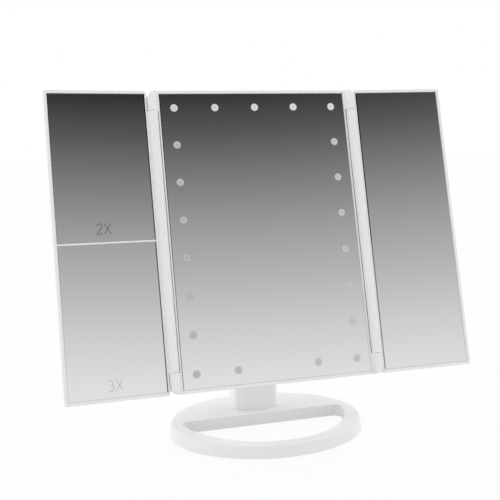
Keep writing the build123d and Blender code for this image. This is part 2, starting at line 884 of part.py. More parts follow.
def make_tilt_bolt():
    """Bolt with a six-sided head."""
    reach = neck_width / 2
    head_end = reach - cap_thickness
    head_start = head_end - bolt_head_height
    shank = rod_across(tilt_bolt_radius, -head_end, head_start, neck_y, pivot_height)
    head = rod_across(bolt_head_radius, head_start, head_end, neck_y, pivot_height, bolt_head_sides)
    return shank + head


def make_tilt_nut():
    reach = neck_width / 2
    outer = -(reach - cap_thickness)
    corner = nut_flats / math.sqrt(3)
    nut = rod_across(corner, outer, outer + nut_height, neck_y, pivot_height, bolt_head_sides)
    hole = round_room(tilt_bolt_radius, bolt_seat_gap)
    return nut - rod_across(hole, outer - overrun, outer + nut_height + overrun, neck_y, pivot_height,
                            small_sides)


def make_friction_washers():
    start = arm_width / 2 + washer_gap
    rings = []
    for way in (-1, 1):
        left, right = sorted((way * start, way * (start + washer_thickness)))
        ring = rod_across(washer_radius, left, right, neck_y, pivot_height, medium_sides)
        hole = round_room(tilt_bolt_radius, bolt_running_gap)
        rings.append(ring - rod_across(hole, left - overrun, right + overrun, neck_y, pivot_height, small_sides))
    return group(rings)


def make_hinge_caps():
    """Plain caps that close the two ends of the tilt bolt, flush with the sides of the neck."""
    reach = neck_width / 2
    caps = []
    for way in (-1, 1):
        left, right = sorted((way * (reach - cap_thickness), way * reach))
        caps.append(rod_across(cap_radius, left, right, neck_y, pivot_height, medium_sides))
    return group(caps)


# Foot

def base_oval(inset):
    """Plan of the foot: a draughtsman's oval of four arcs that meet smoothly."""
    major = max(base_width, base_depth) / 2
    minor = min(base_width, base_depth) / 2
    slope = math.hypot(major, minor)
    end_radius = (slope - major + minor) / 2 * slope / major
    end_x = major - end_radius
    long_radius = (end_x ** 2 + minor ** 2 - end_radius ** 2) / (2 * (minor - end_radius))
    long_y = long_radius - minor
    meet = math.degrees(math.atan2(long_y, end_x))
    arcs = [
        CenterArc((end_x, 0), end_radius - inset, -meet, 2 * meet),
        CenterArc((0, -long_y), long_radius - inset, meet, 180 - 2 * meet),
        CenterArc((-end_x, 0), end_radius - inset, 180 - meet, 2 * meet),
        CenterArc((0, long_y), long_radius - inset, 180 + meet, 180 - 2 * meet),
    ]
    return Rot(0, 0, 0 if base_width >= base_depth else 90) * make_face(arcs)


def opening_solid(grow, low, high):
    """Space of the D-shaped opening: a straight back edge and a round front, its corners rounded."""
    side = base_width / 2 * math.sqrt(1 - (2 * opening_edge_y / base_depth) ** 2) - ring_side
    reach = base_depth / 2 + opening_edge_y - ring_front
    radius = (side ** 2 + reach ** 2) / (2 * reach)
    bow = Pos(0, opening_edge_y + radius - reach) * Circle(radius + grow)
    bow &= Pos(0, opening_edge_y + grow - base_depth / 2) * Rectangle(base_width, base_depth)
    space = extrude(Pos(0, 0, low) * bow, amount=high - low)
    return fillet(space.edges().filter_by(Axis.Z), opening_corner_radius + grow)


def front_channel(wall, low, high):
    """Space inside the walls of the front ring, below its top."""
    ring = base_oval(wall) & (Pos(0, opening_edge_y - base_depth / 2 - channel_wall) * Rectangle(
        base_width, base_depth))
    band = extrude(Pos(0, 0, low) * ring, amount=high - low)
    return band - opening_solid(wall, low - overrun, high + overrun)


def neck_screw_places():
    return [(way * neck_boss_x, neck_y) for way in (-1, 1)]


def cover_screw_places():
    """Two screws that hold the cover under the back of the foot, beside those of the neck."""
    reach = base_width / 2 - cover_screw_side_margin
    return [(way * reach, opening_edge_y + cover_screw_front_margin) for way in (-1, 1)]


def land_sheet(inset):
    """Plan of the closed land behind the opening, inside its walls."""
    land = base_oval(inset)
    front = opening_edge_y + inset
    land &= Pos(0, front + base_depth / 2) * Rectangle(base_width, base_depth)
    return land


def make_base_shell():
    lean = math.degrees(math.atan2(base_draft, base_height))
    body = extrude(Pos(0, 0, base_underside) * base_oval(0), amount=base_height, taper=lean)
    body = chamfer(body.edges().group_by(Axis.Z)[-1], base_top_bevel)
    body -= opening_solid(0, base_underside - overrun, base_top + overrun)
    cavity_top = base_top - base_top_wall
    body -= extrude(Pos(0, 0, base_underside - overrun) * land_sheet(base_wall),
                    amount=cavity_top - base_underside + overrun)
    body -= front_channel(channel_wall, base_underside - overrun, base_underside + channel_depth)
    body -= neck_solid(-neck_seat_gap, neck_foot, base_top + overrun)
    for x, y in neck_screw_places():
        body -= rod_up(screw_radius + screw_clearance, x, y, base_underside, base_top, small_sides)
    for x, y in cover_screw_places():
        body += rod_up(housing_post_radius, x, y, base_underside + cover_thickness,
                       cavity_top + base_top_wall / 2, small_sides)
        body -= rod_up(screw_radius + screw_bite_gap, x, y, base_underside, cavity_top, small_sides)
    return body


def make_base_cover():
    sheet = land_sheet(base_wall + cover_gap)
    cover = extrude(Pos(0, 0, base_underside) * sheet, amount=cover_thickness)
    for x, y in cover_screw_places():
        cover -= rod_up(screw_radius + screw_clearance, x, y, 0, base_top, small_sides)
        cover -= rod_up(screw_head_radius + screw_clearance, x, y, 0, base_underside + screw_head_height / 2,
                        small_sides)
    for x, y in neck_screw_places():
        cover -= rod_up(screw_head_radius + screw_clearance, x, y, 0, base_top, small_sides)
    for x, y in back_foot_places():
        cover -= rod_up(foot_radius + cover_gap, x, y, 0, base_underside + foot_seat, medium_sides)
    return cover


def make_base_weight():
    """Steel plate that steadies the foot, laid on the cover."""
    low = base_underside + cover_thickness
    plate = extrude(Pos(0, 0, low) * land_sheet(base_wall + weight_margin), amount=weight_thickness)
    room = housing_post_radius + weight_gap
    for x, y in cover_screw_places() + neck_screw_places():
        plate -= rod_up(room, x, y, 0, base_top, small_sides)
    return plate


def make_base_screws():
    screws = []
    for x, y in cover_screw_places():
        seat = base_underside + screw_head_height / 2
        head = rod_up(screw_head_radius, x, y, seat - screw_head_height / 2, seat, small_sides)
        shank = rod_up(screw_radius, x, y, seat, base_top - base_top_wall - screw_clearance, small_sides)
        screws.append(head + shank)
    for x, y in neck_screw_places():
        seat = base_top - base_top_wall
        head = rod_up(screw_head_radius, x, y, seat - screw_head_height, seat, small_sides)
        shank = rod_up(screw_radius, x, y, seat, neck_foot + neck_screw_length - screw_clearance, small_sides)
        screws.append(head + shank)
    return group(screws)


def back_foot_places():
    """Round pads under the land, two wide apart and one at the back."""
    return [(-wide_foot_x, neck_y), (wide_foot_x, neck_y), (0, back_foot_y)]


def make_rubber_feet():
    """Three round pads under the land and two curved pads pressed into the front channel."""
    pads = [rod_up(foot_radius, x, y, 0, base_underside + foot_seat, medium_sides)
            for x, y in back_foot_places()]
    channel = front_channel(channel_wall + cover_gap, 0, base_underside + channel_depth)
    half = front_foot_length / 2
    for way in (-1, 1):
        middle = way * front_foot_x
        pads.append(channel & block(middle - half, middle + half, -base_depth, 0, 0, base_top))
    return group(pads)


def save(name, part):
    export_step(part, "parts/" + name + ".step")


save("base_shell", make_base_shell())
save("base_cover", make_base_cover())
save("base_weight", make_base_weight())
save("base_screws", make_base_screws())
save("rubber_feet", make_rubber_feet())
save("neck_post", make_neck_post())
save("tilt_bolt", make_tilt_bolt())
save("tilt_nut", make_tilt_nut())
save("friction_washers", make_friction_washers())
save("hinge_caps", make_hinge_caps())
save("tilt_arm", make_tilt_arm())
save("arm_screws", make_arm_screws())
save("centre_frame", make_centre_frame())
save("centre_mirror", make_centre_mirror())
save("light_windows", make_light_windows())
save("led_board", make_led_board())
save("led_chips", make_led_chips())
save("control_board", make_control_board())
save("touch_sensor", make_touch_sensor())
save("centre_back", make_centre_back())
save("housing_screws", make_housing_screws())
save("battery_tray", make_battery_tray())
save("battery_cells", make_battery_cells())
save("battery_contacts", make_battery_contacts())
save("battery_door", make_battery_door())
save("power_boards", make_power_boards())
save("switch_body", make_switch_body())
save("switch_knob", make_switch_knob())
save("charging_inlet", make_charging_inlet())
save("hinge_pins", make_hinge_pins())
save("left_wing_frame", make_wing_frame(-1, True))
save("left_wing_back", make_wing_back(-1))
save("left_mirror_upper", make_wing_pane(-1, panel_middle + divider_width / 2, glass_height))
save("left_mirror_lower", make_wing_pane(-1, 0, panel_middle - divider_width / 2))
save("left_hinge_bushes", make_hinge_bushes(-1))
save("right_wing_frame", make_wing_frame(1, False))
save("right_wing_back", make_wing_back(1))
save("right_mirror", make_wing_pane(1, 0, glass_height))
save("right_hinge_bushes", make_hinge_bushes(1))

print("gap between the closed wings", round(2 * (hinge_u - wing_reach), 2))
print("foot of the glass", round(glass_foot_y, 2), round(glass_foot_z, 2))
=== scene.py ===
# %% [markdown]
# This is a lighted make-up mirror: three framed mirror panels on a leaning head, a neck and an
# oval foot.
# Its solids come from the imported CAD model, which stays where it is.
# Everything drawn here is a skin or a small detail that sits on those solids.
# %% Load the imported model
import json
import math
import bmesh
import bpy
from mathutils import Matrix, Vector


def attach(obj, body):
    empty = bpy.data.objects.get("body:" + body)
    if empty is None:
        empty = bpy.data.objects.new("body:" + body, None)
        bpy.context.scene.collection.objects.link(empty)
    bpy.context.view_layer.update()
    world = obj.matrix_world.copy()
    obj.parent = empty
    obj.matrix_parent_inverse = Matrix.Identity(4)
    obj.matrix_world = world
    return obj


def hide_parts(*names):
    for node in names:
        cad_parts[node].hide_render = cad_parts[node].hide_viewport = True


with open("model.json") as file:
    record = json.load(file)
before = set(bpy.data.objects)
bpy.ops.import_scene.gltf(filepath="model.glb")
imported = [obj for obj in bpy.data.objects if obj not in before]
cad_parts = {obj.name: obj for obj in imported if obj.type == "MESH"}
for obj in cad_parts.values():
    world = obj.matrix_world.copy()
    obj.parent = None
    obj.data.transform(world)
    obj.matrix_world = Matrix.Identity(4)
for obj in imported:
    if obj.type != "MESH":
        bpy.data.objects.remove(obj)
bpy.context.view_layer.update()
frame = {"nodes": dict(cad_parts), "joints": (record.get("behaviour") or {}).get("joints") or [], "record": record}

mm = 0.001
nodes = frame["nodes"]
joints = {joint["name"]: joint for joint in frame["joints"]}

# %% [markdown]
# The head leans back, and each wing is turned a little about its hinge.
# It would be possible to write every place in world coordinates, but small pieces are easier to
# draw upright and flat, and to carry over with one matrix.
# The hinge joints of the model already know the lean and the axes, so the matrices are read from
# them.
# %% Frames of the head and the wings
glass_top = 240.0
glass_height = glass_top * mm
hinge_before_glass = 1.8 * mm

hinge = joints["left_wing_fold"]
across = Vector((1, 0, 0))
up = Vector(hinge["axis"])
deep = up.cross(across)
hinge_reach = abs(hinge["pos_m"][0])
wing_angle = math.radians(abs(hinge["range_deg"][0]))
hinge_middle = Vector((0, hinge["pos_m"][1], hinge["pos_m"][2]))
glass_foot = hinge_middle - up * glass_height / 2 + deep * hinge_before_glass


def placed(x_axis, y_axis, z_axis, origin):
    """Matrix that carries a piece drawn upright at the origin to its place."""
    return Matrix.Translation(origin) @ Matrix((x_axis, y_axis, z_axis)).transposed().to_4x4()


def wing_place(side):
    """Wing coordinates: distance out from the hinge axis, depth behind the axis, height."""
    outwards = across * side * math.cos(wing_angle) - deep * math.sin(wing_angle)
    backwards = deep * math.cos(wing_angle) + across * side * math.sin(wing_angle)
    origin = across * side * hinge_reach + glass_foot - deep * hinge_before_glass
    return placed(outwards, backwards, up, origin)


print("lean in degrees", round(math.degrees(math.atan2(up.y, up.z)), 2))

# %% [markdown]
# Moulded plastic is never one flat colour: the mould leaves a very fine grain, and the shade
# drifts a little.
# Each material could carry its own noise nodes, but many finishes need the same thing.
# One shared group gives a drifting colour, a drifting roughness and a height for a Bump node.
# Small helpers make an empty group, feed a socket, and add a Math node or a scaled colour.
# %% Shared group for a fine grain
def new_group(name, inputs, outputs):
    """Empty shader group with named sockets, and its input and output nodes."""
    group = bpy.data.node_groups.new(name, "ShaderNodeTree")
    for label, kind, value in inputs:
        socket = group.interface.new_socket(label, in_out="INPUT", socket_type=kind)
        socket.default_value = value
    for label, kind in outputs:
        group.interface.new_socket(label, in_out="OUTPUT", socket_type=kind)
    return group, group.nodes.new("NodeGroupInput"), group.nodes.new("NodeGroupOutput")


def feed(tree, socket, value):
    """Input socket linked to another socket, or set to a plain value."""
    if isinstance(value, bpy.types.NodeSocket):
        tree.links.new(value, socket)
    else:
        socket.default_value = value


def math_node(tree, operation, first, second):
    """Output of a Math node whose two inputs are sockets or plain numbers."""
    node = tree.nodes.new("ShaderNodeMath")
    node.operation = operation
    feed(tree, node.inputs[0], first)
    feed(tree, node.inputs[1], second)
    return node.outputs[0]


def scaled(tree, colour, amount):
    """Colour made lighter or darker by an amount that changes over the surface."""
    node = tree.nodes.new("ShaderNodeVectorMath")
    node.operation = "SCALE"
    tree.links.new(colour, node.inputs[0])
    tree.links.new(amount, node.inputs["Scale"])
    return node.outputs[0]


surface_outputs = [("Colour", "NodeSocketColor"), ("Roughness", "NodeSocketFloat"),
                   ("Height", "NodeSocketFloat")]


def make_grain_group():
    """Colour and roughness that drift slowly, and a fine height, from places on the object."""
    group, given, wanted = new_group(
        "Fine grain",
        [("Colour", "NodeSocketColor", (0.8, 0.8, 0.8, 1)), ("Drift", "NodeSocketFloat", 0.03),
         ("Patches per metre", "NodeSocketFloat", 30.0), ("Roughness", "NodeSocketFloat", 0.4),
         ("Roughness drift", "NodeSocketFloat", 0.06),
         ("Grains per metre", "NodeSocketFloat", 2500.0)],
        surface_outputs)
    place = group.nodes.new("ShaderNodeTexCoord").outputs["Object"]
    slow = group.nodes.new("ShaderNodeTexNoise")
    fine = group.nodes.new("ShaderNodeTexNoise")
    for noise, scale in ((slow, "Patches per metre"), (fine, "Grains per metre")):
        group.links.new(place, noise.inputs["Vector"])
        group.links.new(given.outputs[scale], noise.inputs["Scale"])
    fine.inputs["Detail"].default_value = 1.0
    centred = math_node(group, "SUBTRACT", slow.outputs["Fac"], 0.5)
    shade = math_node(group, "MULTIPLY", centred, given.outputs["Drift"])
    shade = math_node(group, "ADD", shade, 1.0)
    rough = math_node(group, "MULTIPLY", centred, given.outputs["Roughness drift"])
    rough = math_node(group, "ADD", rough, given.outputs["Roughness"])
    group.links.new(scaled(group, given.outputs["Colour"], shade), wanted.inputs["Colour"])
    group.links.new(rough, wanted.inputs["Roughness"])
    group.links.new(fine.outputs["Fac"], wanted.inputs["Height"])
    return group


grain_group = make_grain_group()
print("shared groups", [group.name for group in bpy.data.node_groups])

# %% [markdown]
# Rolled, drawn and plated metal carries fine lines along one direction, darker in some places
# than in others.
# The lines could be cut into the mesh, but at this size they only show as changes of colour and
# gloss.
# A noise that is stretched along the object's width gives them to every metal piece from one
# group.
# %% Shared group for drawn metal
line_stretch = (0.06, 1.0, 1.0)


def make_streak_group():
    """Colour, roughness and height with fine lines that run across the object."""
    group, given, wanted = new_group(
        "Drawn lines",
        [("Colour", "NodeSocketColor", (0.6, 0.6, 0.6, 1)), ("Depth", "NodeSocketFloat", 0.2),
         ("Lines per metre", "NodeSocketFloat", 3000.0), ("Roughness", "NodeSocketFloat", 0.3)],
        surface_outputs)
    place = group.nodes.new("ShaderNodeTexCoord").outputs["Object"]
    stretch = group.nodes.new("ShaderNodeMapping")
    stretch.inputs["Scale"].default_value = line_stretch
    group.links.new(place, stretch.inputs["Vector"])
    lines = group.nodes.new("ShaderNodeTexNoise")
    lines.inputs["Detail"].default_value = 3.0
    group.links.new(stretch.outputs["Vector"], lines.inputs["Vector"])
    group.links.new(given.outputs["Lines per metre"], lines.inputs["Scale"])
    centred = math_node(group, "SUBTRACT", lines.outputs["Fac"], 0.5)
    shade = math_node(group, "MULTIPLY", centred, given.outputs["Depth"])
    tint = scaled(group, given.outputs["Colour"], math_node(group, "ADD", shade, 1.0))
    rough = math_node(group, "ADD", shade, given.outputs["Roughness"])
    group.links.new(tint, wanted.inputs["Colour"])
    group.links.new(rough, wanted.inputs["Roughness"])
    group.links.new(lines.outputs["Fac"], wanted.inputs["Height"])
    return group


streak_group = make_streak_group()
print("shared groups", [group.name for group in bpy.data.node_groups])

# %% [markdown]
# Most finishes of this object differ only in colour, gloss and grain.
# A material could be built by hand for each, but one function with named values keeps them
# alike.
# The Principled shader stays in the material, and the constants are set on its own sockets.
# %% Materials made with the shared groups
bump_height = 0.1 * mm


def new_material(name):
    """Material, its node tree and its Principled shader."""
    material = bpy.data.materials.new(name)
    material.use_nodes = True
    tree = material.node_tree
    return material, tree, tree.nodes["Principled BSDF"]


def finish(name, group, bump, metallic, **values):
    """Material whose colour, roughness and bump come from a shared group with these values."""
    material, tree, shader = new_material(name)
    node = tree.nodes.new("ShaderNodeGroup")
    node.node_tree = group
    for label, value in values.items():
        node.inputs[label.replace("_", " ")].default_value = value
    bumps = tree.nodes.new("ShaderNodeBump")
    bumps.inputs["Strength"].default_value = bump
    bumps.inputs["Distance"].default_value = bump_height
    tree.links.new(node.outputs["Height"], bumps.inputs["Height"])
    tree.links.new(bumps.outputs["Normal"], shader.inputs["Normal"])
    tree.links.new(node.outputs["Colour"], shader.inputs["Base Color"])
    tree.links.new(node.outputs["Roughness"], shader.inputs["Roughness"])
    shader.inputs["Metallic"].default_value = metallic
    return material


def grained(name, colour, roughness, drift=0.03, grain=2500.0, bump=0.05, metallic=0.0,
            patches=30.0):
    """Finish with a drifting colour and roughness and a fine grain."""
    return finish(name, grain_group, bump, metallic, Colour=(*colour, 1), Roughness=roughness,
                  Drift=drift, Grains_per_metre=grain, Patches_per_metre=patches)


def drawn_metal(name, colour, roughness, depth=0.25, lines=3000.0, bump=0.1):
    """Metal finish with fine lines across the object."""
    return finish(name, streak_group, bump, 1.0, Colour=(*colour, 1), Roughness=roughness,
                  Depth=depth, Lines_per_metre=lines)


def grey(level):
    """Plain grey of one level."""
    return level, level, level


print("bump height in mm", bump_height / mm)

# %% [markdown]
# Each node of the model names the slot of its material, so one table of finishes dresses them
# all.
# The white is written as it should look, because the light further down shows a colour about as
# it is written.
# %% Finishes of the model's own solids
white_plastic = grained("White satin plastic", (0.89, 0.89, 0.888), 0.38, drift=0.02)
silvered_glass = grained("Silvered glass", grey(0.93), 0.02, drift=0.004, grain=40, bump=0,
                         metallic=1.0)
finishes = {
    "white_plastic": white_plastic,
    "mirror_glass": silvered_glass,
    "frosted_lens": grained("Frosted lens", grey(0.52), 0.45, grain=4000, bump=0.2),
    "steel": drawn_metal("Zinc plated steel", (0.55, 0.55, 0.56), 0.32),
    "soft_rubber": grained("Pale soft rubber", (0.55, 0.55, 0.54), 0.75, grain=1500, bump=0.15),
    "brass_bush": drawn_metal("Brass", (0.72, 0.52, 0.24), 0.35),
    "circuit_board": grained("Solder mask", (0.03, 0.16, 0.06), 0.35, drift=0.25),
    "led_body": grained("Lamp body", (0.8, 0.68, 0.25), 0.25),
    "cell_sleeve": grained("Cell sleeve", (0.05, 0.05, 0.055), 0.3),
    "plated_contact": drawn_metal("Nickel plate", (0.66, 0.64, 0.6), 0.25),
    "dark_plastic": grained("Dark grey plastic", (0.035, 0.035, 0.037), 0.5, bump=0.15),
}
slot_of = {part["node"]: part["material_slot"] for part in frame["record"]["subparts"]}
for name, solid in nodes.items():
    solid.data.materials.clear()
    solid.data.materials.append(finishes[slot_of[name]])
print("finishes", len(finishes), "on", len(slot_of), "nodes")

# %% [markdown]
# The small pieces that follow are all skins over closed loops of points: rings for what is
# round, outlines for what is moulded, thin sections for printed strokes.
# Ready-made cylinders and text objects would be quicker, but their ends and joints look raw in a
# close view.
# A few helpers give the loops, skin them and make the finished object that rides on its body.
# %% Helpers for drawn pieces
round_sides = {"lens": 40, "screw": 36, "well": 48, "cap": 48, "cell": 32, "dimple": 24}


def ring(radius, level, sides):
    """Circle of points at a level."""
    turns = [2 * math.pi * i / sides for i in range(sides)]
    return [(radius * math.cos(turn), radius * math.sin(turn), level) for turn in turns]


def rings(profile, sides):
    """Circles of a turned piece, from its profile of radii and levels."""
    return [ring(radius, level, sides) for radius, level in profile]


def corner_rows(shape, loops, place):
    """Mesh corners for loops of points in millimetres, carried to their place."""
    return [[shape.verts.new(place @ (Vector(point) * mm)) for point in loop] for loop in loops]


def side_faces(shape, rows, finish_numbers=None, closed=False):
    """Faces from each row of corners to the next, and from the last to the first if closed."""
    following = rows[1:] + rows[:1] if closed else rows[1:]
    for step, (low, high) in enumerate(zip(rows, following)):
        for i in range(len(low)):
            j = (i + 1) % len(low)
            face = shape.faces.new((low[i], low[j], high[j], high[i]))
            face.material_index = finish_numbers[step] if finish_numbers else 0


def skin(shape, loops, place, finish_numbers=None, lid=True):
    """Skin over loops with equal numbers of points; gives back the corners of the last loop."""
    rows = corner_rows(shape, loops, place)
    side_faces(shape, rows, finish_numbers)
    shape.faces.new(rows[0])
    if lid:
        face = shape.faces.new(rows[-1])
        face.material_index = finish_numbers[-1] if finish_numbers else 0
    return rows[-1]


def new_piece(name, shape, piece_finishes, body, sharp_over=35):
    """Object made of a drawn shape, smooth but for its sharp edges, riding on a body."""
    bmesh.ops.recalc_face_normals(shape, faces=shape.faces[:])
    mesh = bpy.data.meshes.new(name)
    shape.to_mesh(mesh)
    shape.free()
    for piece_finish in piece_finishes:
        mesh.materials.append(piece_finish)
    mesh.shade_smooth()
    mesh.set_sharp_from_angle(angle=math.radians(sharp_over))
    piece = bpy.data.objects.new(name, mesh)
    bpy.context.scene.collection.objects.link(piece)
    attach(piece, body)
    print(name, "faces", len(mesh.polygons), "on", body)
    return piece


print("sides of the round pieces", round_sides)

# %% [markdown]
# Each piece is drawn on a plane of its own: the front of the centre glass, the front of a wing's
# glass, or the back of the head.
# Drawing on the world's axes would need the lean in every number. Here x goes to the right of
# whoever looks at the plane, y goes up, and z comes towards them, all in millimetres.
# %% Drawing planes
def wing_face(side):
    """Drawing plane on a wing's glass."""
    place = wing_place(side)
    outwards, backwards, axis = (place.col[i].to_3d() for i in range(3))
    return placed(outwards * side, axis, -backwards,
                  place.translation + backwards * hinge_before_glass)


def raised(place, x, y, z=0.0):
    """The same drawing plane with its origin moved."""
    return place @ Matrix.Translation(Vector((x, y, z)) * mm)


front_face = placed(across, up, -deep, glass_foot)
back_face = placed(-across, up, deep, glass_foot)
right_face, left_face = wing_face(1), wing_face(-1)
print("foot of the glass", tuple(round(value, 4) for value in glass_foot))

# %% [markdown]
# Twenty-one round diffusers of frosted plastic sit in holes through the silvered glass, with
# light-emitting diodes behind them; switched off, they look like grey dots.
# A flat disc would do from afar. A turned shape with a thin flange, a fine ring and a shallow
# dish catches light as a moulded lens does, and its flange covers the edge of the hole.
# The ring is painted the palest, as a painted highlight, and the dish is painted darker, as painted shade for the
# lamp behind it that swallows light.
# %% Light windows
window_margin, window_u, windows_up = 12.0, 69.0, 8
window_rise = (glass_top - 2 * window_margin) / (windows_up - 1)
row_step = 34.5
top_row_height = 0.27
painted_top_row_light, painted_lens_light_level = 0.32, 1.02


def lens_finish_with_painted_light(name, level):
    """Frosted plastic with painted light: paler in the top row and towards the right."""
    material = grained(name, grey(level), 0.5, drift=0.05, grain=4000.0, bump=0.15, patches=400.0)
    tree = material.node_tree
    colour_input = tree.nodes["Principled BSDF"].inputs["Base Color"]
    colour = colour_input.links[0].from_socket
    place = tree.nodes.new("ShaderNodeSeparateXYZ")
    tree.links.new(tree.nodes.new("ShaderNodeTexCoord").outputs["Object"], place.inputs[0])
    # Painted light: the colour is scaled up in the top row and towards the right, as if more light fell there.
    painted_top_row_mask = math_node(tree, "GREATER_THAN", place.outputs["Z"], top_row_height)
    gain = math_node(tree, "MULTIPLY", painted_top_row_mask, painted_top_row_light)
    gain = math_node(tree, "ADD", place.outputs["X"], gain)
    gain = math_node(tree, "ADD", gain, painted_lens_light_level)
    tree.links.new(scaled(tree, colour, gain), colour_input)
    return material


def window_places():
    """Two columns, and between them three windows at the top and two at the bottom."""
    places = [(side * window_u, window_margin + row * window_rise)
              for side in (-1, 1) for row in range(windows_up)]
    places += [(u, glass_top - window_margin) for u in (-row_step, 0.0, row_step)]
    return places + [(u, window_margin) for u in (-row_step, row_step)]


lens_profile = [(2.85, -1.9), (2.85, 0.0), (3.12, 0.01), (3.14, 0.06), (3.05, 0.11), (2.75, 0.12),
                (2.6, 0.06), (2.4, 0.06), (2.1, 0.1), (1.5, 0.05), (1.0, 0.02), (0.5, 0.0)]
lens_steps = [0, 0, 0, 0, 0, 0, 1, 1, 1, 2, 2, 2]
# Painted light: one frosted plastic in three greys, palest on the ring and darker in the dish.
lens_finishes = [lens_finish_with_painted_light("Frosted flange", 0.5), lens_finish_with_painted_light("Frosted ring with painted highlight", 0.6),
                 lens_finish_with_painted_light("Frosted dish with painted shade", 0.52)]
shape = bmesh.new()
for u, v in window_places():
    skin(shape, rings(lens_profile, round_sides["lens"]), raised(front_face, u, v), lens_steps)
window_lenses = new_piece("window_lenses", shape, lens_finishes, "head",
                          sharp_over=60)
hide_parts("light_windows")

# %% [markdown]
# The cut edge of each pane shows as a thin darker line inside the rim, where the rim throws its shade; that shade
# is painted here, as strips of darker silver.
# A dark line could be painted on the glass, but a narrow strip with mitred corners also shows in
# the right place when the wings turn.
# %% Flat strips
sharpest_mitre = 0.4


def strip_sections(points, width, low, high, closed):
    """Four-cornered section of a flat strip at each point of its path, mitred at the corners."""
    points = [Vector(point) for point in points]
    count = len(points)
    sections = []
    for i, point in enumerate(points):
        ways = []
        if closed or i > 0:
            ways.append((point - points[i - 1]).normalized())
        if closed or i < count - 1:
            ways.append((points[(i + 1) % count] - point).normalized())
        way = sum(ways, Vector((0, 0))).normalized()
        side = Vector((-way.y, way.x)) * width / 2 / max(sharpest_mitre, way.dot(ways[0]))
        sections.append([(*(point + side * sign), level)
                         for sign, level in ((1, low), (1, high), (-1, high), (-1, low))])
    return sections


def strip(shape, points, width, low, high, place, closed=False, finish_numbers=None):
    """Flat strip along a path in the drawing plane, standing from a low to a high level."""
    rows = corner_rows(shape, strip_sections(points, width, low, high, closed), place)
    side_faces(shape, rows, finish_numbers, closed)
    if not closed:
        shape.faces.new(rows[0])
        shape.faces.new(rows[-1])


print("sharpest mitre", sharpest_mitre)

# %% [markdown]
# Each side of a pane has its own painted shade: deep beside the hinge barrels, clear or faint elsewhere.
# One finish for the whole strip would be simpler, but the lines of the real mirror differ
# plainly.
# The painted shade between the right barrel and its pane is wide enough to be seen past the barrel, and is lighter
# towards the bottom, so a second strip lies over the first there.
# %% Painted shade at the edges of the panes
# Painted shade: metallic strips in four greys, from clear to deepest.
painted_edge_shades = {"clear": 0.92, "faint": 0.8, "deep": 0.36, "deepest": 0.17}
painted_edge_shade_finishes = [grained("Painted shade at pane edge " + label, grey(level), 0.06, drift=0.05, grain=900, bump=0.02,
                         metallic=1.0)
                 for label, level in painted_edge_shades.items()]
clear_edge, faint_edge, deep_edge, deepest_edge = range(len(painted_edge_shades))
edge_width, edge_low, edge_high = 0.9, -0.02, 0.03
hair = 0.005


def pane_edge(shape, left, right, bottom, top, place, shades):
    """Strip of painted shade round one pane; the shades go bottom, right, top, left."""
    inset = edge_width / 2
    corners = [(left + inset, bottom + inset), (right - inset, bottom + inset),
               (right - inset, top - inset), (left + inset, top - inset)]
    strip(shape, corners, edge_width, edge_low, edge_high, place, closed=True,
          finish_numbers=shades)


half_glass = 81.0
pane_near, pane_far = 5.7, 83.5
divider_low, divider_high = 119.45, 120.55
barrel_shade_width, barrel_shade_turn = 1.45, 110
shape = bmesh.new()
pane_edge(shape, -half_glass, half_glass, 0, glass_top, front_face,
          (faint_edge, faint_edge, faint_edge, deep_edge))
new_piece("centre_pane_edge_shade", shape, painted_edge_shade_finishes, "head")
shape = bmesh.new()
pane_edge(shape, pane_near, pane_far, 0, glass_top, right_face,
          (faint_edge, faint_edge, faint_edge, deepest_edge))
# Painted shade: a wider, darker strip beside the right barrel.
shade_u = pane_near + barrel_shade_width / 2
shade_path = [(shade_u, v) for v in (edge_width, barrel_shade_turn, glass_top - edge_width)]
strip(shape, shade_path, barrel_shade_width, edge_low, edge_high + hair, right_face,
      finish_numbers=[deep_edge, deepest_edge])
new_piece("right_pane_edge_shade", shape, painted_edge_shade_finishes, "right_wing")
shape = bmesh.new()
pane_edge(shape, -pane_far, -pane_near, divider_high, glass_top, left_face,
          (clear_edge, deepest_edge, faint_edge, faint_edge))
pane_edge(shape, -pane_far, -pane_near, 0, divider_low, left_face,
          (faint_edge, deepest_edge, clear_edge, faint_edge))
new_piece("left_pane_edge_shades", shape, painted_edge_shade_finishes, "left_wing")

# %% [markdown]
# Between the centre panel and each hinge barrel runs a narrow gap, which looks dark because it
# is deep.
# A black line on the rim would be wrong from the side, so a thin grey strip of painted shade lies in the gap
# itself, behind the front of the barrel and clear of the wing's swing; it stands for the dark depth of the gap,
# not for a seal.
# %% Painted shade strips beside the barrels
seam_low, seam_high = 14.9, 225.1
gap_middle, gap_width, gap_back, gap_front = 82.85, 0.9, -1.5, -0.2
# Painted shade: a grey strip put where the gap is only deep and dark.
gap_painted_shade = grained("Grey strip of painted gap shade", grey(0.26), 0.8, drift=0.1, grain=1500, bump=0.2)
shape = bmesh.new()
for side in (-1, 1):
    path = [(side * gap_middle, seam_low), (side * gap_middle, seam_high)]
    strip(shape, path, gap_width, gap_back, gap_front, front_face)
new_piece("barrel_gap_shade_strips", shape, [gap_painted_shade], "head")

# %% [markdown]
# The two panes of the left wing carry their power, 2X and 3X, etched in thin strokes.
# A font would bring its own shapes, so each sign is a few paths in a box one unit high, and the
# same strip as before is drawn along them.
# %% Signs drawn with strips
def bow(centre, reach, first, last, steps=10):
    """Points of an arc of an ellipse between two angles in degrees."""
    angles = [math.radians(first + (last - first) * i / steps) for i in range(steps + 1)]
    return [(centre[0] + reach[0] * math.cos(angle), centre[1] + reach[1] * math.sin(angle))
            for angle in angles]


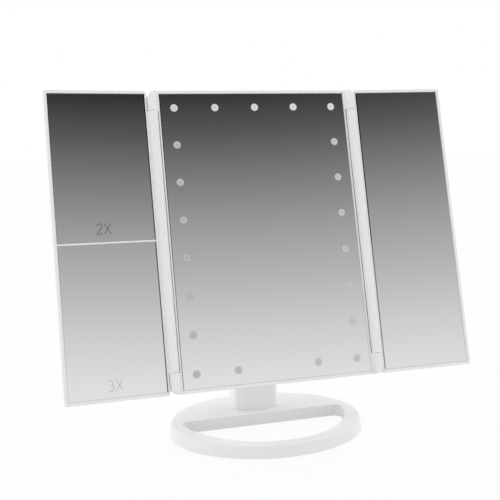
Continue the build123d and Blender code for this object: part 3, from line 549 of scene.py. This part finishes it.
signs = {
    "2": [bow((0.29, 0.74), (0.25, 0.26), 165, -38) + [(0.03, 0.0), (0.58, 0.0)]],
    "3": [bow((0.26, 0.755), (0.24, 0.245), 150, -90)
          + bow((0.26, 0.255), (0.28, 0.255), 90, -152)[1:]],
    "X": [[(0.0, 1.0), (0.62, 0.0)], [(0.0, 0.0), (0.62, 1.0)]],
    "O": [bow((0.34, 0.5), (0.34, 0.5), 0, 360, 24)[:-1]],
    "N": [[(0.0, 0.0), (0.0, 1.0), (0.6, 0.0), (0.6, 1.0)]],
    "F": [[(0.0, 0.0), (0.0, 1.0), (0.5, 1.0)], [(0.0, 0.53), (0.42, 0.53)]],
}
sign_widths = {"2": 0.6, "3": 0.56, "X": 0.62, "O": 0.68, "N": 0.6, "F": 0.5}
path_step = 0.004


def write(shape, word, left, base, height, gap, stroke, low, high, place):
    """Word of signs, a strip for each path; a second path is a hair higher, so none flicker."""
    for letter in word:
        for number, path in enumerate(signs[letter]):
            points = [(left + x * height, base + y * height) for x, y in path]
            strip(shape, points, stroke, low, high + path_step * number, place,
                  closed=letter == "O")
        left += sign_widths[letter] * height + gap


print("signs", sorted(signs))

# %% [markdown]
# The etched strokes are still silver, only duller and darker than the glass round them, and the
# lower sign is the paler one.
# Each word has its base, height, gap and stroke in a small table, so both come from one loop.
# %% Powers of the magnifying panes
etched = [grained("Etched silver " + label, grey(level), 0.22, drift=0.1, grain=3000, bump=0.1,
                  metallic=1.0)
          for label, level in (("deep", 0.5), ("light", 0.74))]
power_left = -52.2
powers = {"2X": (127.2, 8.0, 1.5, 1.0), "3X": (5.8, 8.1, 1.7, 0.75)}
lower_pane_below = 0.12
shape = bmesh.new()
for word, (base, height, gap, stroke) in powers.items():
    write(shape, word, power_left, base, height, gap, stroke, edge_low, edge_high, left_face)
for face in shape.faces:
    face.material_index = int(face.calc_center_median().z < lower_pane_below)
new_piece("power_signs", shape, etched, "left_wing")

# %% [markdown]
# Small pan-head screws with a cross recess hold the housing and the foot.
# The model has only plain drums for them. The heads are turned here with a rounded edge, and the
# cross is cut by filling the flat top round a plus-shaped outline and sinking its floor.
# %% Shapes of a screw and its well
cross_depth_share = 0.62
cross_floor, cross_mouth = (0.75, 0.18), (1.3, 0.3)
well_profile = [(2.6, -0.01), (2.98, -0.01), (3.0, 0.03), (2.9, 0.06), (2.65, 0.05), (2.56, -0.05)]


def cross_outline(arm, half, level):
    """Corners of a plus sign, in order round it."""
    corners = [(arm, -half), (arm, half), (half, half), (half, arm), (-half, arm), (-half, half),
               (-arm, half), (-arm, -half), (-half, -half), (-half, -arm), (half, -arm),
               (half, -half)]
    return [(x, y, level) for x, y in corners]


def cross_screw(shape, place, height, shank):
    """Screw with its seat at the origin: shank below, rounded head with a recess above."""
    profile = [(1.2, -shank), (1.3, -shank + 0.3), (1.3, 0.0), (2.5, 0.0), (2.5, 0.45 * height),
               (2.38, 0.72 * height), (2.1, 0.92 * height), (1.8, height)]
    rim = skin(shape, rings(profile, round_sides["screw"]), place, lid=False)
    floor_level = height - cross_depth_share * height
    mouth = skin(shape, [cross_outline(*cross_floor, floor_level),
                         cross_outline(*cross_mouth, height)], place, lid=False)
    edges = [shape.edges.get((loop[i], loop[(i + 1) % len(loop)])) for loop in (rim, mouth)
             for i in range(len(loop))]
    bmesh.ops.triangle_fill(shape, edges=edges, use_beauty=True, normal=place.col[2].to_3d())


def screw_well(shape, place, depth):
    """Thin round lining of a screw hole with a small lip; its mouth is at the origin."""
    profile = [(well_profile[0][0], -depth), *well_profile, (well_profile[-1][0], -depth)]
    side_faces(shape, corner_rows(shape, rings(profile, round_sides["well"]), place), closed=True)


print("cross recess", cross_mouth, "in a head of 2.5 mm radius")

# %% [markdown]
# Four screws close the housing from the back. Two short ones hold the cover of the foot, and two
# long ones go up into the neck.
# The wells line the long holes, so that their walls are smooth where the model has few sides.
# %% Screws and their wells in place
underside = placed(across, Vector((0, -1, 0)), Vector((0, 0, -1)), Vector((0, 0, 0)))
housing_holes = [(side * 57.0, v) for side in (-1, 1) for v in (25.0, 215.0)]
housing_seat, housing_mouth, foot_mouth = 9.4, 12.0, -1.0
housing_head, housing_shank = 1.6, 4.0
housing_well, foot_well = 2.5, 1.9
neck_y, neck_screw_x = 35.2, 12.0
cover_screw = (58.0, -19.5, -1.8, 0.8, 5.0)
neck_screw = (neck_screw_x, -neck_y, -7.8, 1.6, 12.0)

shape = bmesh.new()
for u, v in housing_holes:
    cross_screw(shape, raised(back_face, u, v, housing_seat), housing_head, housing_shank)
housing_screw_heads = new_piece("housing_cross_screws", shape, [finishes["steel"]], "head")
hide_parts("housing_screws")
shape = bmesh.new()
for side in (-1, 1):
    for x, y, seat, height, shank in (cover_screw, neck_screw):
        cross_screw(shape, raised(underside, side * x, y, seat), height, shank)
foot_screw_heads = new_piece("foot_cross_screws", shape, [finishes["steel"]], "base")
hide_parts("base_screws")
shape = bmesh.new()
for u, v in housing_holes:
    screw_well(shape, raised(back_face, u, v, housing_mouth), housing_well)
new_piece("housing_screw_wells", shape, [white_plastic], "head")
shape = bmesh.new()
for side in (-1, 1):
    screw_well(shape, raised(underside, side * neck_screw_x, -neck_y, foot_mouth), foot_well)
new_piece("foot_screw_wells", shape, [white_plastic], "base")

# %% [markdown]
# The ends of the tilt bolt are hidden by press-in caps, one on each side of the neck.
# A flat plug shows its corners. The turned cap has a slightly domed face and a thin rim that
# covers the seat.
# %% Caps of the tilt hinge
cap_profile = [(4.6, -1.1), (4.65, 0.0), (5.15, 0.01), (5.25, 0.12), (5.1, 0.26), (4.4, 0.36),
               (2.5, 0.46), (0.9, 0.5)]
neck_half, tilt_height = 20.0, 147.8
shape = bmesh.new()
for side in (-1, 1):
    origin = Vector((side * neck_half, neck_y, tilt_height)) * mm
    place = placed(Vector((0, side, 0)), Vector((0, 0, 1)), Vector((side, 0, 0)), origin)
    skin(shape, rings(cap_profile, round_sides["cap"]), place)
tilt_caps = new_piece("tilt_hinge_caps", shape, [white_plastic], "base")
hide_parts("hinge_caps")

# %% [markdown]
# Four AAA cells lie head to tail under the sliding door: a dark printed sleeve with a pale band
# and a plus sign at one end, bare metal at both ends and a nib on the plus end.
# The model's plain drums would look like pipes. Each cell is turned from one profile whose steps
# carry different finishes.
# %% Battery cells
cell_depth, cell_radius = 18.15, 5.25
cell_rows = [143.5 + 11.0 * row for row in range(4)]
cell_profile = [(4.3, -22.1), (4.7, -22.25), (5.0, -22.2), (cell_radius, -21.9),
                (cell_radius, 15.5), (cell_radius, 20.95), (5.05, 21.3), (4.6, 21.35),
                (4.4, 21.15), (2.5, 21.15), (2.4, 21.35), (1.9, 21.35), (1.9, 22.05),
                (1.7, 22.25)]
cell_steps = [1, 1, 0, 0, 2, 0, 0, 2, 2, 1, 1, 1, 1]
plus_u, plus_arm, plus_stroke, plus_low, plus_high = 12.0, 1.1, 0.5, -0.15, 0.02
pale_band = grained("Pale printed band", (0.62, 0.62, 0.6), 0.32, drift=0.04)


def row_origin(row, u=0.0):
    """Middle of a cell's row, or a place beside it."""
    return glass_foot + (up * row + deep * cell_depth + across * u) * mm


shape = bmesh.new()
for number, row in enumerate(cell_rows):
    way = 1 - 2 * (number % 2)
    cell_place = placed(up, -deep * way, across * way, row_origin(row))
    skin(shape, rings(cell_profile, round_sides["cell"]), cell_place, cell_steps)
    sign = raised(back_face, -way * plus_u, row, cell_depth + cell_radius)
    for arm in ([(-plus_arm, 0), (plus_arm, 0)], [(0, -plus_arm), (0, plus_arm)]):
        strip(shape, arm, plus_stroke, plus_low, plus_high, sign, finish_numbers=[2])
cells = new_piece("printed_cells", shape, [finishes["cell_sleeve"], finishes["steel"], pale_band],
                  "head")
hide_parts("battery_cells")

# %% [markdown]
# Each cell is held between a plate with a pressed dimple, at its nib, and a plate with a wound
# spring.
# The model has short drums for both. Here the spring is a real conical coil of round wire, swept
# as a ring of points along a helix.
# %% Contacts and springs
contact_face, contact_back, plate_half = 23.65, 24.05, 5.1
plate_thickness = contact_back - contact_face
spring_length = contact_face - 22.25
spring_radii, spring_wire, spring_turns = (3.6, 2.2), 0.3, 2.5
dimple_profile = [(1.9, -0.05), (1.8, 0.5), (1.4, 1.05), (0.8, spring_length)]


def coil(shape, radii, wire, length, turns, place, steps=18, sides=8):
    """Conical coil of round wire that rises along its own axis."""
    loops = []
    for i in range(int(turns * steps) + 1):
        share = i / (turns * steps)
        turn = 2 * math.pi * i / steps
        radius = radii[0] + (radii[1] - radii[0]) * share
        middle = wire + (length - 2 * wire) * share
        loop = []
        for j in range(sides):
            angle = 2 * math.pi * j / sides
            reach = radius + wire * math.cos(angle)
            loop.append((reach * math.cos(turn), reach * math.sin(turn),
                         middle + wire * math.sin(angle)))
        loops.append(loop)
    skin(shape, loops, place)


shape = bmesh.new()
for number, row in enumerate(cell_rows):
    nib_way = 1 - 2 * (number % 2)
    for way in (-1, 1):
        inwards = placed(up, deep * way, -across * way, row_origin(row, way * contact_back))
        strip(shape, [(-plate_half, 0), (plate_half, 0)], 2 * plate_half, 0, plate_thickness,
              inwards)
        face = raised(inwards, 0, 0, plate_thickness)
        if way == nib_way:
            skin(shape, rings(dimple_profile, round_sides["dimple"]), face)
        else:
            coil(shape, spring_radii, spring_wire, spring_length, spring_turns, face)
contacts = new_piece("sprung_contacts", shape, [finishes["plated_contact"]], "head")
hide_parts("battery_contacts")

# %% [markdown]
# A raised arrow on the battery door shows which way it slides, and the two ends of the switch's
# travel are marked ON and OFF in small grey print.
# The arrow is moulded with the door and shows only by its shade. The print is a hair proud, as
# ink is.
# %% Arrow and switch letters
arrow_outline = [(-5.0, 176.0), (5.0, 176.0), (0.6, 182.4), (-0.6, 182.4)]
arrow_sunk, arrow_rise, arrow_draft = 0.1, 0.3, 0.1
plaque_bevel = 0.06
box_back = 27.0
print_base, print_height, print_gap, print_stroke = 105.4, 2.1, 0.45, 0.36
ink = 0.03


def plaque(shape, outline, low, high, draft, place):
    """Raised plate whose outline shrinks a little towards its top."""
    middle = sum((Vector(point) for point in outline), Vector((0, 0))) / len(outline)
    top = [middle + (Vector(point) - middle) * (1 - draft) for point in outline]
    skin(shape, [[(*point, low) for point in outline],
                 [(*point, high - plaque_bevel) for point in outline],
                 [(*point, high) for point in top]], place)


shape = bmesh.new()
plaque(shape, arrow_outline, box_back - arrow_sunk, box_back + arrow_rise, arrow_draft, back_face)
new_piece("door_arrow", shape, [white_plastic], "battery_cover")
grey_print = grained("Grey print", (0.22, 0.22, 0.225), 0.5, drift=0.08, grain=5000)
shape = bmesh.new()
for word, left in (("ON", 20.4), ("OFF", 26.4)):
    write(shape, word, left, print_base, print_height, print_gap, print_stroke, box_back - ink,
          box_back + ink, back_face)
new_piece("switch_letters", shape, [grey_print], "head")

# %% [markdown]
# The charging inlet is a small pressed steel shell with slanted lower corners and a black tongue
# that carries five gold contacts.
# The model keeps a square tube there. A skin over six-cornered loops gives the shell its real
# outline.
# %% Charging inlet
inlet_u, inlet_mouth, inlet_depth, inlet_end = 26.0, 84.2, 21.4, 94.1
inlet_length = inlet_end - inlet_mouth
wall_end = inlet_length - 0.15
tongue_start, tongue_stop = 0.3, inlet_length - 0.5
tongue_width, tongue_low, tongue_high = 3.7, -0.35, 0.3
strand_start, strand_stop = 2.0, inlet_length - 0.8
strand_width, strand_low, strand_high = 0.3, 0.28, 0.36
strand_pitch, strand_count = 0.65, 5
gold = drawn_metal("Gold plate", (0.8, 0.6, 0.25), 0.25)
inlet_origin = glass_foot + (across * inlet_u + up * inlet_end + deep * inlet_depth) * mm
inlet_place = placed(across, -deep, -up, inlet_origin)
tongue_place = inlet_place @ Matrix.Rotation(math.pi / 2, 4, "X")


def shell_outline(shrink, level):
    """Outline of the shell: wide on one side, slanted corners on the other."""
    wide, narrow, thick = 3.75 - shrink, 2.95 - 0.7 * shrink, 1.35 - shrink
    return [(wide, -thick, level), (wide, 0.1, level), (narrow, thick, level),
            (-narrow, thick, level), (-wide, 0.1, level), (-wide, -thick, level)]


shape = bmesh.new()
skin(shape, [shell_outline(0, 0), shell_outline(0, wall_end), shell_outline(0.1, inlet_length),
             shell_outline(0.25, inlet_length), shell_outline(0.35, wall_end),
             shell_outline(0.35, 0.4)], inlet_place)
strip(shape, [(0, tongue_start), (0, tongue_stop)], tongue_width, tongue_low, tongue_high,
      tongue_place, finish_numbers=[1])
for number in range(strand_count):
    x = (number - strand_count // 2) * strand_pitch
    strip(shape, [(x, strand_start), (x, strand_stop)], strand_width, strand_low, strand_high,
          tongue_place, finish_numbers=[2])
socket = new_piece("charging_socket", shape,
                   [finishes["plated_contact"], finishes["dark_plastic"], gold], "head")
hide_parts("charging_inlet")

# %% [markdown]
# The light is that of a studio with a bright low surround and a dark ceiling.
# Mirrors show this surround, so its shade has to change with height as it does in the glass.
# Lamps alone would need a built set round the object, while a world shader gives the same with
# one ramp.
# %% Shaders for the world
white = (1, 1, 1, 1)


def world_ramp(tree, factor, stops):
    """Colour ramp of greys: pairs of a place and a level."""
    ramp = tree.nodes.new("ShaderNodeValToRGB")
    colours = ramp.color_ramp.elements
    for place, level in stops[2:]:
        colours.new(place)
    for element, (place, level) in zip(sorted(colours, key=lambda e: e.position), stops):
        element.position = place
        element.color = (*grey(level), 1)
    tree.links.new(factor, ramp.inputs["Fac"])
    return ramp.outputs["Color"]


def background(tree, colour, strength):
    """Background shader with a plain or a linked colour and strength."""
    node = tree.nodes.new("ShaderNodeBackground")
    feed(tree, node.inputs["Color"], colour)
    feed(tree, node.inputs["Strength"], strength)
    return node.outputs[0]


def either(tree, factor, off, on):
    """Mix of two shaders by a factor."""
    node = tree.nodes.new("ShaderNodeMixShader")
    tree.links.new(factor, node.inputs["Fac"])
    tree.links.new(off, node.inputs[1])
    tree.links.new(on, node.inputs[2])
    return node.outputs[0]


surround_stops = [(0.0, 1.0), (0.12, 0.95), (0.20, 0.86), (0.248, 0.775), (0.299, 0.648),
                  (0.35, 0.50), (0.401, 0.368), (0.452, 0.226), (0.477, 0.162), (0.503, 0.099),
                  (0.528, 0.057), (0.55, 0.018), (0.62, 0.012), (0.78, 0.02), (0.92, 0.9)]
print("surround levels", len(surround_stops))

# %% [markdown]
# What lights the plastic is softer: an even light, and more of it from above, from behind and
# from both sides, as large lamps behind cloth give.
# Four area lamps would do the same with more noise. Here each side adds a share of its own axis
# to the strength, which a Light Path node keeps away from the mirrored rays.
# %% World
side_tilt = 0.13
level_light = 0.26
side_lights = (("Z", 0.38), ("Y", 0.5), ("X", -1.02), ("X", 1.16))

world = bpy.data.worlds.new("Studio")
bpy.context.scene.world = world
world.use_nodes = True
sky = world.node_tree
sky.nodes.clear()
direction = sky.nodes.new("ShaderNodeSeparateXYZ")
sky.links.new(sky.nodes.new("ShaderNodeTexCoord").outputs["Generated"], direction.inputs[0])
sideways = math_node(sky, "MULTIPLY", direction.outputs["X"], side_tilt)
height = math_node(sky, "ADD", direction.outputs["Z"], sideways)
surround = background(sky, world_ramp(sky, height, surround_stops), 1.0)
soft_strength = level_light
for axis, amount in side_lights:
    part = math_node(sky, "MULTIPLY", direction.outputs[axis], amount)
    soft_strength = math_node(sky, "ADD", math_node(sky, "MAXIMUM", part, 0.0), soft_strength)
soft_light = background(sky, white, soft_strength)
rays = sky.nodes.new("ShaderNodeLightPath")
mirrored = math_node(sky, "MAXIMUM", rays.outputs["Is Glossy Ray"],
                     rays.outputs["Is Transmission Ray"])
lighting = either(sky, mirrored, soft_light, surround)
seen = either(sky, rays.outputs["Is Camera Ray"], lighting, background(sky, white, 1.0))
sky.links.new(seen, sky.nodes.new("ShaderNodeOutputWorld").inputs["Surface"])
bpy.context.scene.view_settings.view_transform = "Standard"
print("lit from", len(side_lights), "sides")

# %% [markdown]
# The object stands on a plain white table that runs out of view.
# A white floor lit by soft light would come out grey, so for rays that look at it directly or in
# a mirror most of its white is emitted, and only a share is lit, which keeps a faint shadow.
# %% Floor
table_half_width, table_level, table_roughness, lit_share = 6.0, 0.8, 0.9, 0.08


def table_finish():
    """White that is mostly emitted where a ray looks at it, and only lit elsewhere."""
    material, tree, shader = new_material("White table")
    shader.inputs["Base Color"].default_value = (*grey(table_level), 1)
    shader.inputs["Roughness"].default_value = table_roughness
    glow = tree.nodes.new("ShaderNodeEmission")
    looks = tree.nodes.new("ShaderNodeLightPath")
    looked_at = math_node(tree, "MAXIMUM", looks.outputs["Is Camera Ray"],
                          looks.outputs["Is Glossy Ray"])
    looked_at = math_node(tree, "MAXIMUM", looked_at, looks.outputs["Is Transmission Ray"])
    share = math_node(tree, "MULTIPLY", looked_at, 1 - lit_share)
    mixed = either(tree, share, shader.outputs[0], glow.outputs[0])
    tree.links.new(mixed, tree.nodes["Material Output"].inputs["Surface"])
    return material


shape = bmesh.new()
bmesh.ops.create_grid(shape, x_segments=8, y_segments=8, size=table_half_width)
mesh = bpy.data.meshes.new("table_top")
shape.to_mesh(mesh)
shape.free()
mesh.materials.append(table_finish())
floor = bpy.data.objects.new("table_top", mesh)
bpy.context.scene.collection.objects.link(floor)
print("table", floor.name)

# %% [markdown]
# The photograph is taken from the left and a little above, with a short telephoto lens.
# The camera could be aimed by a constraint, but the small roll of the picture is easier to keep
# when the three turns are written out.
# %% Camera
camera_place = Vector((-234.2, -698.4, 257.9)) * mm
camera_turn = (17.65, 7.89, -0.89)
lens_length, sensor_width = 64.04, 36.0

camera = bpy.data.objects.new("camera", bpy.data.cameras.new("camera"))
bpy.context.scene.collection.objects.link(camera)
camera.data.lens = lens_length
camera.data.sensor_width = sensor_width
yaw, pitch, roll = (math.radians(angle) for angle in camera_turn)
view_turn = (Matrix.Rotation(roll, 3, "Y") @ Matrix.Rotation(pitch, 3, "X")
             @ Matrix.Rotation(yaw, 3, "Z"))
camera.matrix_world = placed(view_turn[0], view_turn[2], -view_turn[1], camera_place)
bpy.context.scene.camera = camera
print("camera at", tuple(round(value, 3) for value in camera_place))
